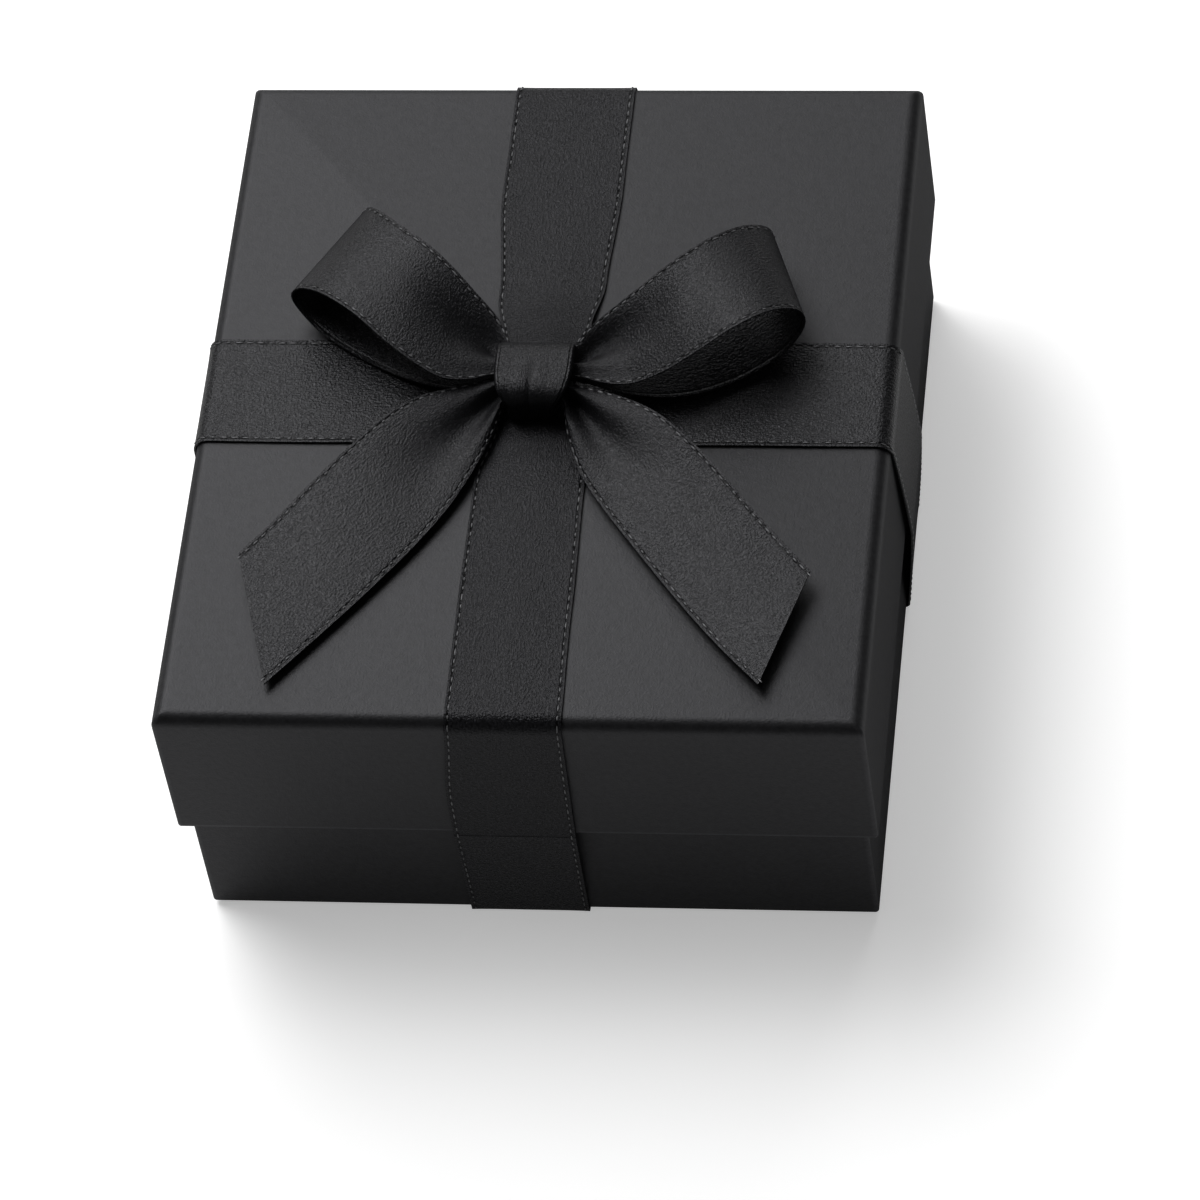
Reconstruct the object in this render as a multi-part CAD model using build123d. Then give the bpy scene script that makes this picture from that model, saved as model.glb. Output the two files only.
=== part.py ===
"""Ribbon-tied gift box: a paper-covered board base and lift-off lid, tied both ways with satin ribbon.

Millimetres, +X to the right, +Y to the back, +Z up. The origin is on the surface that the box stands
on, under the middle of the box. The ribbon is parted at the lid's rim, so that the lid lifts with the
bow and the upper bands while the lower bands stay on the base.
"""
import os

from build123d import *

# Outside of the closed box, papers included
LID_WIDTH = 120.0
LID_DEPTH = 140.0
BOX_HEIGHT = 56.5
LID_HEIGHT = 31.3

# Sheet stock
BOARD = 1.2
PAPER = 0.15
STAY_TAPE = 0.1
GLUE_LINE = 0.03
RIBBON = 0.4

# Fits
LID_CLEARANCE = 0.3
LID_SEAT_GAP = 0.05
LAY_GAP = 0.05
SOFT_GAP = 0.3

# Edges and laps
LID_EDGE_RADIUS = 2.4
BASE_EDGE_RADIUS = 0.6
TURN_IN_DEPTH = 14.0
LINER_SHORTFALL = 8.0
STAY_LAP = 12.0
STAY_SHORTFALL = 1.5

# Ribbon bands
RIBBON_WIDTH = 22.0
LONG_BAND_X = -1.0
CROSS_BAND_Y = 0.0
BAND_PARTING = 0.3
HUMP_RAMP = 2.0

# Bow
KNOT_WIDTH = 13.0
KNOT_DEPTH = 13.0
KNOT_HEIGHT = 8.0
KNOT_RADIUS = 1.8
KNOT_X = -1.5
KNOT_Y = -1.0
PINCH_WIDTH = 8.0
LOOP_START = 7.0
TAIL_START = 9.8
FLARE_LENGTH = 26.0
LOOP_RISE = 0.6
LOOP_NECK = 3.4
LOOP_SHOULDER = 0.5
LOOP_ROUNDNESS = 0.48
LEFT_LOOP_ANGLE = 146.0
LEFT_LOOP_LENGTH = 45.0
LEFT_LOOP_HEIGHT = 12.5
RIGHT_LOOP_ANGLE = 26.0
RIGHT_LOOP_LENGTH = 46.0
RIGHT_LOOP_HEIGHT = 15.0
TAIL_ARCH = 5.0
TAIL_ARCH_AT = 0.4
TAIL_LAND = 44.0
TAIL_LIE = 0.6
LEFT_TAIL_ANGLE = 228.5
LEFT_TAIL_LENGTH = 65.5
LEFT_TAIL_SLANT = -17.5
RIGHT_TAIL_ANGLE = -47.0
RIGHT_TAIL_LENGTH = 69.0
RIGHT_TAIL_SLANT = 14.0

# Worked-out wall stacks, from the outside in
UNDER_WRAP = STAY_TAPE + 2 * GLUE_LINE
WRAP_TO_BOARD = PAPER + UNDER_WRAP
WALL_STACK = WRAP_TO_BOARD + BOARD + GLUE_LINE + PAPER
LID_OVERHANG = WALL_STACK + LID_CLEARANCE

# Worked-out levels and plan sizes
BASE_Z = 2 * RIBBON
LID_TOP_Z = BASE_Z + BOX_HEIGHT
LID_RIM_Z = LID_TOP_Z - LID_HEIGHT
BASE_TOP_Z = LID_TOP_Z - WALL_STACK - LID_SEAT_GAP
BASE_WIDTH = LID_WIDTH - 2 * LID_OVERHANG
BASE_DEPTH = LID_DEPTH - 2 * LID_OVERHANG
BANDS_TOP_Z = LID_TOP_Z + 2 * (LAY_GAP + RIBBON)

CORNERS = {
    "front_left": (-1, -1),
    "front_right": (1, -1),
    "back_left": (-1, 1),
    "back_right": (1, 1),
}


def block(width, depth, low, high):
    """A box centred on the Z axis between two levels."""
    return Pos(0, 0, low) * Box(width, depth, high - low, align=(Align.CENTER, Align.CENTER, Align.MIN))


def lid_block(inset, low, radius):
    """The lid's outline, moved in by an inset, with its top edges rounded and mitred at the corners."""
    solid = block(LID_WIDTH - 2 * inset, LID_DEPTH - 2 * inset, low, LID_TOP_Z - inset)
    return fillet(solid.edges().group_by(Axis.Z)[-1], radius)


def base_block(inset, high):
    """The base's outline, moved in by an inset on its sides and its underside, with rounded lower edges."""
    solid = block(BASE_WIDTH - 2 * inset, BASE_DEPTH - 2 * inset, BASE_Z + inset, high)
    return fillet(solid.edges().group_by(Axis.Z)[0], BASE_EDGE_RADIUS - inset)


def make_base_board():
    """Board tray: a floor and four walls."""
    floor_top = BASE_Z + WRAP_TO_BOARD + BOARD
    rim = BASE_TOP_Z - PAPER - GLUE_LINE
    inner = 2 * (WRAP_TO_BOARD + BOARD)
    return base_block(WRAP_TO_BOARD, rim) - block(BASE_WIDTH - inner, BASE_DEPTH - inner, floor_top, rim)


def make_base_wrap():
    """Covering paper: floor and walls outside, over the rim, and down inside as a turn-in."""
    inner = 2 * (WRAP_TO_BOARD + BOARD + GLUE_LINE)
    skin = base_block(0, BASE_TOP_Z) - base_block(PAPER, BASE_TOP_Z - PAPER)
    mouth = block(BASE_WIDTH - inner, BASE_DEPTH - inner, BASE_TOP_Z - PAPER, BASE_TOP_Z)
    turn_in = block(BASE_WIDTH - inner, BASE_DEPTH - inner, BASE_TOP_Z - TURN_IN_DEPTH, BASE_TOP_Z)
    inner += 2 * PAPER
    hollow = block(BASE_WIDTH - inner, BASE_DEPTH - inner, BASE_TOP_Z - TURN_IN_DEPTH, BASE_TOP_Z)
    return (skin - mouth) + (turn_in - hollow)


def make_base_liner():
    """Lining paper: it covers the floor and the walls, and stops short of the rim."""
    outer = 2 * (WALL_STACK + GLUE_LINE)
    floor = BASE_Z + WRAP_TO_BOARD + BOARD + GLUE_LINE
    top = BASE_TOP_Z - LINER_SHORTFALL
    tray = block(BASE_WIDTH - outer, BASE_DEPTH - outer, floor, top)
    inner = outer + 2 * PAPER
    return tray - block(BASE_WIDTH - inner, BASE_DEPTH - inner, floor + PAPER, top)


def make_lid_board():
    """Board tray, upside down, with rounded top edges."""
    rim = LID_RIM_Z + PAPER + GLUE_LINE
    inner = 2 * (WRAP_TO_BOARD + BOARD)
    ceiling = LID_TOP_Z - WRAP_TO_BOARD - BOARD
    solid = lid_block(WRAP_TO_BOARD, rim, LID_EDGE_RADIUS - WRAP_TO_BOARD)
    return solid - block(LID_WIDTH - inner, LID_DEPTH - inner, rim, ceiling)


def make_lid_wrap():
    """Covering paper: top and skirt outside, round the rim, and up inside as a turn-in."""
    inner = 2 * (WRAP_TO_BOARD + BOARD + GLUE_LINE)
    skin = lid_block(0, LID_RIM_Z, LID_EDGE_RADIUS) - lid_block(
        PAPER, LID_RIM_Z + PAPER, LID_EDGE_RADIUS - PAPER
    )
    mouth = block(LID_WIDTH - inner, LID_DEPTH - inner, LID_RIM_Z, LID_RIM_Z + PAPER)
    turn_in = block(LID_WIDTH - inner, LID_DEPTH - inner, LID_RIM_Z, LID_RIM_Z + TURN_IN_DEPTH)
    inner += 2 * PAPER
    hollow = block(LID_WIDTH - inner, LID_DEPTH - inner, LID_RIM_Z, LID_RIM_Z + TURN_IN_DEPTH)
    return (skin - mouth) + (turn_in - hollow)


def make_lid_liner():
    """Lining paper on the underside of the lid's top, which the base's rim bears on."""
    inner = 2 * (WALL_STACK + GLUE_LINE)
    top = LID_TOP_Z - WRAP_TO_BOARD - BOARD - GLUE_LINE
    return block(LID_WIDTH - inner, LID_DEPTH - inner, top - PAPER, top)


def make_corner_stay(width, depth, low, high, side_x, side_y):
    """Paper tape folded round one outer corner of a board tray, under the covering paper."""
    outer = block(width + 2 * (GLUE_LINE + STAY_TAPE), depth + 2 * (GLUE_LINE + STAY_TAPE), low, high)
    tape = outer - block(width + 2 * GLUE_LINE, depth + 2 * GLUE_LINE, low, high)
    lap = block(2 * STAY_LAP, 2 * STAY_LAP, low, high)
    return tape & (Pos(side_x * width / 2, side_y * depth / 2, 0) * lap)


def base_corner_stay(side_x, side_y):
    """A stay on the base board."""
    low = BASE_Z + WRAP_TO_BOARD + STAY_SHORTFALL
    high = BASE_TOP_Z - PAPER - STAY_SHORTFALL
    width = BASE_WIDTH - 2 * WRAP_TO_BOARD
    return make_corner_stay(width, BASE_DEPTH - 2 * WRAP_TO_BOARD, low, high, side_x, side_y)


def lid_corner_stay(side_x, side_y):
    """A stay on the lid board, below its rounded top edge."""
    low = LID_RIM_Z + PAPER + STAY_SHORTFALL
    high = LID_TOP_Z - LID_EDGE_RADIUS - STAY_SHORTFALL
    width = LID_WIDTH - 2 * WRAP_TO_BOARD
    return make_corner_stay(width, LID_DEPTH - 2 * WRAP_TO_BOARD, low, high, side_x, side_y)


def band(outer, inner):
    """A ribbon band: the section between two outlines in the XZ plane, as wide along Y as the ribbon."""
    return extrude(outer - inner, amount=RIBBON_WIDTH / 2, both=True, dir=(0, 1, 0))


def outline(points, radius):
    """A closed outline in the XZ plane, with a round bend at its second and last-but-one points."""
    corners = [Vector(x, 0, z) for x, z in points]
    face = make_face(Polyline(*corners, close=True))
    bends = [v for v in face.vertices() if min((Vector(v) - corners[i]).length for i in (1, -2)) < 1e-3]
    return fillet(bends, radius)


def hump_points(lie, rise, way):
    """Four points that carry one band over the other where they cross, taken in the path's direction."""
    flat = RIBBON_WIDTH / 2 + SOFT_GAP
    foot = flat + HUMP_RAMP
    corners = [(foot, lie), (flat, lie + rise), (-flat, lie + rise), (-foot, lie)]
    return [(CROSS_BAND_Y + way * across, level) for across, level in corners]


def upper_outline(half, out, hump):
    """Outline of an upper band: up one side of the lid, across its top and down the other side."""
    side = half + LAY_GAP + out
    lie = LID_TOP_Z + LAY_GAP + out
    points = [(side, LID_RIM_Z), (side, lie), (-side, lie), (-side, LID_RIM_Z)]
    if hump:
        points[2:2] = hump_points(lie, RIBBON + LAY_GAP, 1)
    return outline(points, LID_EDGE_RADIUS + LAY_GAP + out)


def lower_outline(half_base, half_lid, out, hump):
    """Outline of a lower band: down one side, under the base, and up the other side."""
    side = half_base + LAY_GAP + out
    top = half_lid + LAY_GAP + out
    lie = RIBBON - out
    end = LID_RIM_Z - BAND_PARTING
    points = [(-top, end), (-side, lie), (side, lie), (top, end)]
    if hump:
        points[2:2] = hump_points(lie, RIBBON, -1)
    return outline(points, BASE_EDGE_RADIUS + RIBBON + out)


def upper_band(half, hump):
    """An upper band that runs along X."""
    return band(upper_outline(half, RIBBON, hump), upper_outline(half, 0, hump))


def lower_band(half_base, half_lid, hump):
    """A lower band that runs along X."""
    outer = lower_outline(half_base, half_lid, RIBBON, hump)
    return band(outer, lower_outline(half_base, half_lid, 0, hump))


def turn_to_long(solid):
    """Turns a band that runs along X so that it runs along Y, at the long band's place."""
    return Pos(LONG_BAND_X, 0, 0) * Rot(0, 0, 90) * solid


def make_lid_ribbon_cross():
    """Upper band across the lid's width."""
    return Pos(0, CROSS_BAND_Y, 0) * upper_band(LID_WIDTH / 2, False)


def make_lid_ribbon_long():
    """Upper band along the lid's depth, over the cross band."""
    return turn_to_long(upper_band(LID_DEPTH / 2, True))


def make_base_ribbon_cross():
    """Lower band across the base's width, under the long band."""
    return Pos(0, CROSS_BAND_Y, 0) * lower_band(BASE_WIDTH / 2, LID_WIDTH / 2, False)


def make_base_ribbon_long():
    """Lower band along the base's depth, lifted over the cross band under the middle of the box."""
    return turn_to_long(lower_band(BASE_DEPTH / 2, LID_DEPTH / 2, True))


def knot_block(margin):
    """The knot's bounding block, with a margin on its sides."""
    block_width = KNOT_WIDTH + 2 * margin
    block_depth = KNOT_DEPTH + 2 * margin
    solid = Box(block_width, block_depth, KNOT_HEIGHT, align=(Align.CENTER, Align.CENTER, Align.MIN))
    return Pos(KNOT_X, KNOT_Y, BANDS_TOP_Z + LAY_GAP) * solid


def beside_knot(solid, angle):
    """Places a piece drawn outwards along X from the knot's middle, and clears it off the knot."""
    placed = Pos(KNOT_X, KNOT_Y, BANDS_TOP_Z) * Rot(0, 0, angle) * solid
    return placed - knot_block(SOFT_GAP)


def flared_plan(start, length, end_width, slant, height):
    """A prism whose outline is narrow at the knot, full width from the flare on, and cut at a slant."""
    half = end_width / 2
    outline = Polyline(
        (start, -PINCH_WIDTH / 2),
        (FLARE_LENGTH, -half),
        (length + slant / 2, -half),
        (length - slant / 2, half),
        (FLARE_LENGTH, half),
        (start, PINCH_WIDTH / 2),
        close=True,
    )
    return extrude(make_face(outline), amount=height)


def loop_outline(length, height, inset):
    """A loop from the side: flat underneath, round at the fold, and sloping down to the knot on top."""
    high = height - inset
    low = LOOP_RISE + inset
    end = length - inset
    shoulder = LOOP_START + (length - LOOP_START) * LOOP_SHOULDER
    neck = LOOP_RISE + LOOP_NECK - inset
    corners = [(LOOP_START, low), (end, low), (end, high), (shoulder, high), (LOOP_START, neck)]
    face = make_face(Polyline(*[Vector(x, 0, z) for x, z in corners], close=True))
    bends = face.vertices().group_by(Axis.X)[-1]
    return fillet(bends, (high - low) * LOOP_ROUNDNESS)


def make_bow_loop(angle, length, height):
    """A hollow loop: out low, back over the top, and pressed together at the knot."""
    section = loop_outline(length, height, 0) - loop_outline(length, height, RIBBON)
    strip = extrude(section, amount=RIBBON_WIDTH, both=True, dir=(0, 1, 0))
    plan = flared_plan(LOOP_START, length + RIBBON_WIDTH, RIBBON_WIDTH, 0, 2 * height)
    return beside_knot(strip & plan, angle)


def tail_line(rise, end):
    """A tail from the side: up out of the knot, over an arch, down to the lid and along it."""
    lie = TAIL_LIE + rise
    arch_at = (TAIL_START + TAIL_LAND) * TAIL_ARCH_AT
    arch = Spline(
        (TAIL_START, 0, lie + SOFT_GAP),
        (arch_at, 0, TAIL_ARCH + rise),
        (TAIL_LAND, 0, lie),
        tangents=[(1, 0, 1), (1, 0, 0)],
    )
    return [arch, Line((TAIL_LAND, 0, lie), (end, 0, lie))]


def make_bow_tail(angle, length, slant):
    """A tail: a strip of ribbon with a slanted cut at its end."""
    end = length + abs(slant)
    lower = tail_line(0, end)
    upper = tail_line(RIBBON, end)
    sides = [Line(lower[0] @ 0, upper[0] @ 0), Line(lower[1] @ 1, upper[1] @ 1)]
    section = make_face([*lower, *upper, *sides])
    strip = extrude(section, amount=RIBBON_WIDTH, both=True, dir=(0, 1, 0))
    plan = flared_plan(TAIL_START, length, RIBBON_WIDTH, slant, 2 * TAIL_ARCH)
    return beside_knot(strip & plan, angle)


def make_bow_knot():
    """The knot: a rounded block of wound ribbon on top of the crossing."""
    solid = knot_block(0)
    return fillet(solid.edges(), KNOT_RADIUS)


def make_parts():
    """Every sub-part, by its name."""
    parts = {
        "base_board": make_base_board(),
        "base_wrap": make_base_wrap(),
        "base_liner": make_base_liner(),
        "base_ribbon_cross": make_base_ribbon_cross(),
        "base_ribbon_long": make_base_ribbon_long(),
        "lid_board": make_lid_board(),
        "lid_wrap": make_lid_wrap(),
        "lid_liner": make_lid_liner(),
        "lid_ribbon_cross": make_lid_ribbon_cross(),
        "lid_ribbon_long": make_lid_ribbon_long(),
        "bow_knot": make_bow_knot(),
        "bow_loop_left": make_bow_loop(LEFT_LOOP_ANGLE, LEFT_LOOP_LENGTH, LEFT_LOOP_HEIGHT),
        "bow_loop_right": make_bow_loop(RIGHT_LOOP_ANGLE, RIGHT_LOOP_LENGTH, RIGHT_LOOP_HEIGHT),
        "bow_tail_left": make_bow_tail(LEFT_TAIL_ANGLE, LEFT_TAIL_LENGTH, LEFT_TAIL_SLANT),
        "bow_tail_right": make_bow_tail(RIGHT_TAIL_ANGLE, RIGHT_TAIL_LENGTH, RIGHT_TAIL_SLANT),
    }
    for corner, (side_x, side_y) in CORNERS.items():
        parts[f"base_corner_stay_{corner}"] = base_corner_stay(side_x, side_y)
        parts[f"lid_corner_stay_{corner}"] = lid_corner_stay(side_x, side_y)
    return parts


os.makedirs("parts", exist_ok=True)
for name, shape in make_parts().items():
    export_step(shape, f"parts/{name}.step")
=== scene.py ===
"""Ribbon-tied gift box: the looks of its papers, satin ribbon and bow. Metres, +Z up."""
from math import cos, exp, pi, radians, sin, sqrt, tau

import bpy
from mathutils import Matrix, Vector, noise


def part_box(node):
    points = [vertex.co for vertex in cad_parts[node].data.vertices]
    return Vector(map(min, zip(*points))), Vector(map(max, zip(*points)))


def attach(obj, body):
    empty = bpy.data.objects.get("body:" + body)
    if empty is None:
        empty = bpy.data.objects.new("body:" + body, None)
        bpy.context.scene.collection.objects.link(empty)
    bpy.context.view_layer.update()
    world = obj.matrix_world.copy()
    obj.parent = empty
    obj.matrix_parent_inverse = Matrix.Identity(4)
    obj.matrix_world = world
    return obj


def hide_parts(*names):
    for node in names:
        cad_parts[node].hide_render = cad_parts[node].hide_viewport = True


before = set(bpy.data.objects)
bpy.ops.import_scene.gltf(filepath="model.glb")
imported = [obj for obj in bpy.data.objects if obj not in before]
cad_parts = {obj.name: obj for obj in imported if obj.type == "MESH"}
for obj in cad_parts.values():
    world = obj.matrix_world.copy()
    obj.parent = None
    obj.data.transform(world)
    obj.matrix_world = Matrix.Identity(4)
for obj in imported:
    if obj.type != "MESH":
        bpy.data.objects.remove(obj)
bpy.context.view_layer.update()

MM = 0.001

# ---------------------------------------------------------------- sizes from the frame
LID_LOW, LID_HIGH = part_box("lid_wrap")
BASE_LOW, BASE_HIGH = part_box("base_wrap")
LINER_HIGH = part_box("lid_liner")[1]
LID_TOP = LID_HIGH.z
LID_RIM = LID_LOW.z
LID_X, LID_Y = LID_HIGH.x, LID_HIGH.y
BASE_X, BASE_Y = BASE_HIGH.x, BASE_HIGH.y

# ---------------------------------------------------------------- sizes of the goods
PAPER = 0.15 * MM
WALL = LID_X - LINER_HIGH.x
LID_EDGE_RADIUS = 2.4 * MM
BASE_EDGE_RADIUS = 0.6 * MM
RIM_RADIUS = 0.55 * MM
CORNER_RADIUS = 0.55 * MM
TURN_IN = 14 * MM
# Width over which the painted edge highlight fades, and its share on the upright corners.
HIGHLIGHT_FADE = 0.4 * MM
CORNER_HIGHLIGHT = 0.6

RIBBON_WIDTH = 22 * MM
RIBBON_THICK = 0.3 * MM
RIBBON_LIE = 0.42 * MM
ROWS_ACROSS = 20
ROW_STEP = 1.0 * MM

STITCH_INSET = 0.75 * MM
STITCH_PITCH = 1.9 * MM
STITCH_LENGTH = 1.3 * MM
STITCH_WIDTH = 0.32 * MM
STITCH_HEIGHT = 0.24 * MM


# ---------------------------------------------------------------- nodes, for shaders and geometry
class Value:
    """A node's output that takes part in sums written in Python."""

    def __init__(self, tree, socket):
        self.tree = tree
        self.socket = socket

    def sum(self, operation, *terms):
        node = add(self.tree, "ShaderNodeMath", {"operation": operation}, dict(enumerate(terms)))
        return Value(self.tree, node.outputs[0])

    def __add__(self, other):
        return self.sum("ADD", self, other)

    def __radd__(self, other):
        return self.sum("ADD", other, self)

    def __sub__(self, other):
        return self.sum("SUBTRACT", self, other)

    def __rsub__(self, other):
        return self.sum("SUBTRACT", other, self)

    def __mul__(self, other):
        return self.sum("MULTIPLY", self, other)

    def __rmul__(self, other):
        return self.sum("MULTIPLY", other, self)

    def __truediv__(self, other):
        return self.sum("DIVIDE", self, other)

    def smallest(self, other):
        return self.sum("MINIMUM", self, other)

    def size(self):
        return self.sum("ABSOLUTE", self)

    def sharpened(self, gain):
        """The same pattern round one half, with more contrast."""
        return ((self - 0.5) * gain + 0.5).clamped()

    def clamped(self):
        node = add(self.tree, "ShaderNodeClamp", {}, {"Value": self})
        return Value(self.tree, node.outputs[0])


def add(tree, kind, settings=None, inputs=None):
    """Adds one node: its settings first, then the values or links of its sockets."""
    node = tree.nodes.new(kind)
    for key, value in (settings or {}).items():
        setattr(node, key, value)
    for key, value in (inputs or {}).items():
        socket = node.inputs[key]
        if isinstance(value, Value):
            tree.links.new(value.socket, socket)
        elif isinstance(value, bpy.types.NodeSocket):
            tree.links.new(value, socket)
        else:
            socket.default_value = value
    return node


class Finish:
    """A material with one Principled shader, and the textures that this object's finishes share."""

    def __init__(self, name, roughness, specular, **constants):
        self.material = bpy.data.materials.new(name)
        self.material.use_nodes = True
        self.tree = self.material.node_tree
        self.shader = self.tree.nodes["Principled BSDF"]
        self.shader.inputs["Roughness"].default_value = roughness
        self.shader.inputs["Specular IOR Level"].default_value = specular
        self.shader.inputs["Specular Tint"].default_value = COOL_TINT
        for key, value in constants.items():
            self.shader.inputs[key.replace("_", " ")].default_value = value

    def value(self, kind, settings, inputs, output=0):
        return Value(self.tree, add(self.tree, kind, settings, inputs).outputs[output])

    def place(self, source, scale, turn=0.0):
        """Object or UV coordinates, stretched per axis and turned about Z."""
        coords = add(self.tree, "ShaderNodeTexCoord").outputs[source]
        inputs = {"Vector": coords, "Scale": scale, "Rotation": (0, 0, turn)}
        return add(self.tree, "ShaderNodeMapping", {}, inputs).outputs[0]

    def grain(self, place, scale, detail=2.0, roughness=0.5):
        inputs = {"Vector": place, "Scale": scale, "Detail": detail, "Roughness": roughness}
        return self.value("ShaderNodeTexNoise", {}, inputs)

    def paint(self, factor, dark, light):
        """Base colour between two, by a factor."""
        inputs = {0: factor, 6: (*dark, 1), 7: (*light, 1)}
        mixed = add(self.tree, "ShaderNodeMix", {"data_type": "RGBA"}, inputs)
        self.tree.links.new(mixed.outputs[2], self.shader.inputs["Base Color"])

    def polish(self, roughness):
        """Roughness that varies over the surface, and grows where it is seen along its face."""
        facing = self.value("ShaderNodeLayerWeight", {}, {"Blend": 0.5}, "Facing")
        edge_on = facing * facing * facing * facing
        total = (roughness + edge_on * EDGE_ON_ROUGHNESS).clamped()
        self.tree.links.new(total.socket, self.shader.inputs["Roughness"])

    def emboss(self, height, depth, strength=1.0):
        inputs = {"Height": height, "Distance": depth, "Strength": strength}
        bump = add(self.tree, "ShaderNodeBump", {}, inputs)
        self.tree.links.new(bump.outputs[0], self.shader.inputs["Normal"])


# ---------------------------------------------------------------- finishes
COOL_TINT = (0.965, 0.965, 1.0, 1.0)
EDGE_ON_ROUGHNESS = 0.6
SELVEDGE_GROOVE = 0.35 * MM


def covering_paper():
    """Charcoal uncoated paper: fine fibres, faint mottling, and painted highlight that pales the rim's fold
    and the upright corners.
    """
    finish = Finish("covering_paper", 0.5, 0.5)
    place = finish.place("Object", (1, 1, 1))
    fibres = finish.grain(place, 2600, 3, 0.6)
    mottle = finish.grain(place, 900, 3, 0.6)
    cloud = finish.grain(place, 45, 2)
    speckle = (mottle * 0.5 + fibres * 0.5).sharpened(3.0)
    # Painted highlight: the fold attribute lightens the base colour at the rim's fold and the upright
    # corners, where the edges catch light.
    fold = finish.value("ShaderNodeAttribute", {"attribute_name": "fold"}, {}, "Fac")
    grain_and_highlight = (speckle * 0.8 + cloud * 0.2) * 0.44 + fold * (0.35 + mottle * 0.5)
    finish.paint(grain_and_highlight, (0.003, 0.003, 0.0033), (0.0416, 0.0416, 0.045))
    finish.polish(0.42 + fibres * 0.14)
    finish.emboss(fibres * 0.5 + mottle * 0.5, 0.12 * MM, 0.8)
    return finish.material


def satin(name, gloss, light):
    """Black satin: warp threads along the ribbon, a fine weft across, and a grooved selvedge whose groove
    is darkened with painted shade.
    """
    finish = Finish(name, 0.3, gloss)
    threads = finish.grain(finish.place("UV", (1400, 2900, 1)), 1.0, 2, 0.6)
    weft = finish.grain(finish.place("UV", (2900, 1700, 1)), 1.0, 2, 0.6)
    pucker = finish.grain(finish.place("UV", (220, 140, 1)), 1.0, 2)
    coords = add(finish.tree, "ShaderNodeTexCoord").outputs["UV"]
    parts = add(finish.tree, "ShaderNodeSeparateXYZ", {}, {0: coords})
    across = Value(finish.tree, parts.outputs[1])
    edge = across.smallest(RIBBON_WIDTH - across)
    groove_and_shade = (1 - (edge - STITCH_INSET).size() / SELVEDGE_GROOVE).clamped()
    weave = (threads * 0.5 + weft * 0.5).sharpened(3.4)
    # Painted shade: the base colour is darkened along the selvedge's groove, besides the woven grain.
    finish.paint(weave - groove_and_shade * 0.5, (0.001, 0.001, 0.001), light)
    finish.polish(0.31 - weave * 0.12)
    finish.emboss(weave * 0.5 - groove_and_shade * 0.6 + pucker * 0.4, 0.17 * MM, 1.0)
    return finish.material


def stitch_thread():
    """Thread a little paler than the satin."""
    finish = Finish("stitch_thread", 0.38, 0.6)
    grain = finish.grain(finish.place("Object", (1, 1, 1)), 3000, 1)
    finish.paint(grain, (0.04, 0.04, 0.041), (0.18, 0.18, 0.185))
    return finish.material


def plain_paper(name, dark, light, roughness):
    """An uncoated paper or board with visible fibres."""
    finish = Finish(name, roughness, 0.3)
    place = finish.place("Object", (1, 1, 1))
    fibres = finish.grain(place, 1500, 4, 0.65)
    cloud = finish.grain(place, 120, 2)
    finish.paint(fibres * 0.7 + cloud * 0.3, dark, light)
    finish.emboss(fibres, 0.05 * MM, 0.5)
    return finish.material


# ---------------------------------------------------------------- meshes
CRISP_ANGLE = 42


def make_piece(name, points, faces, material, body, node, thickness, uvs=None, edge_highlights=None):
    """One named smooth mesh with a thickness, on its body, standing for its CAD node."""
    mesh = bpy.data.meshes.new(name)
    mesh.from_pydata(points, [], faces)
    if uvs:
        layer = mesh.uv_layers.new(name="UVMap")
        for loop in mesh.loops:
            layer.data[loop.index].uv = uvs[loop.vertex_index]
    # Painted edge highlight, one value per point, kept in the fold attribute.
    if edge_highlights:
        mesh.attributes.new("fold", "FLOAT", "POINT").data.foreach_set("value", edge_highlights)
    mesh.materials.append(material)
    mesh.polygons.foreach_set("use_smooth", [True] * len(mesh.polygons))
    piece = bpy.data.objects.new(name, mesh)
    bpy.context.collection.objects.link(piece)
    thicken(piece, thickness)
    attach(piece, body)
    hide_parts(node)
    return piece


def thicken(piece, thickness):
    """Gives a skin its thickness, inwards from its shown face, with crisp edges."""
    solid = piece.modifiers.new("thickness", "SOLIDIFY")
    solid.thickness = thickness
    solid.offset = -1
    solid.use_even_offset = False
    depsgraph = bpy.context.evaluated_depsgraph_get()
    mesh = bpy.data.meshes.new_from_object(piece.evaluated_get(depsgraph), depsgraph=depsgraph)
    mesh.set_sharp_from_angle(angle=radians(CRISP_ANGLE))
    piece.modifiers.clear()
    piece.data = mesh


def smooth_step(value):
    """0 below 0, 1 above 1, and an easy curve between."""
    value = min(max(value, 0.0), 1.0)
    return value * value * (3 - 2 * value)


def through(rows, position):
    """A smooth curve through rows of values, at a position counted in rows."""
    last = len(rows) - 1
    index = min(int(position), last - 1)
    part = position - index
    before, here = rows[max(index - 1, 0)], rows[index]
    there, after = rows[index + 1], rows[min(index + 2, last)]
    values = []
    for a, b, c, d in zip(before, here, there, after):
        square = (2 * a - 5 * b + 4 * c - d) * part**2
        cube = (3 * b - a - 3 * c + d) * part**3
        values.append(0.5 * (2 * b + (c - a) * part + square + cube))
    return values


# ---------------------------------------------------------------- paper covers
CORNER_STEPS = 5
SIDE_STEPS = 14
EDGE_STEPS = 8
WALL_STEPS = 12
RIM_STEPS = 4


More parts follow.
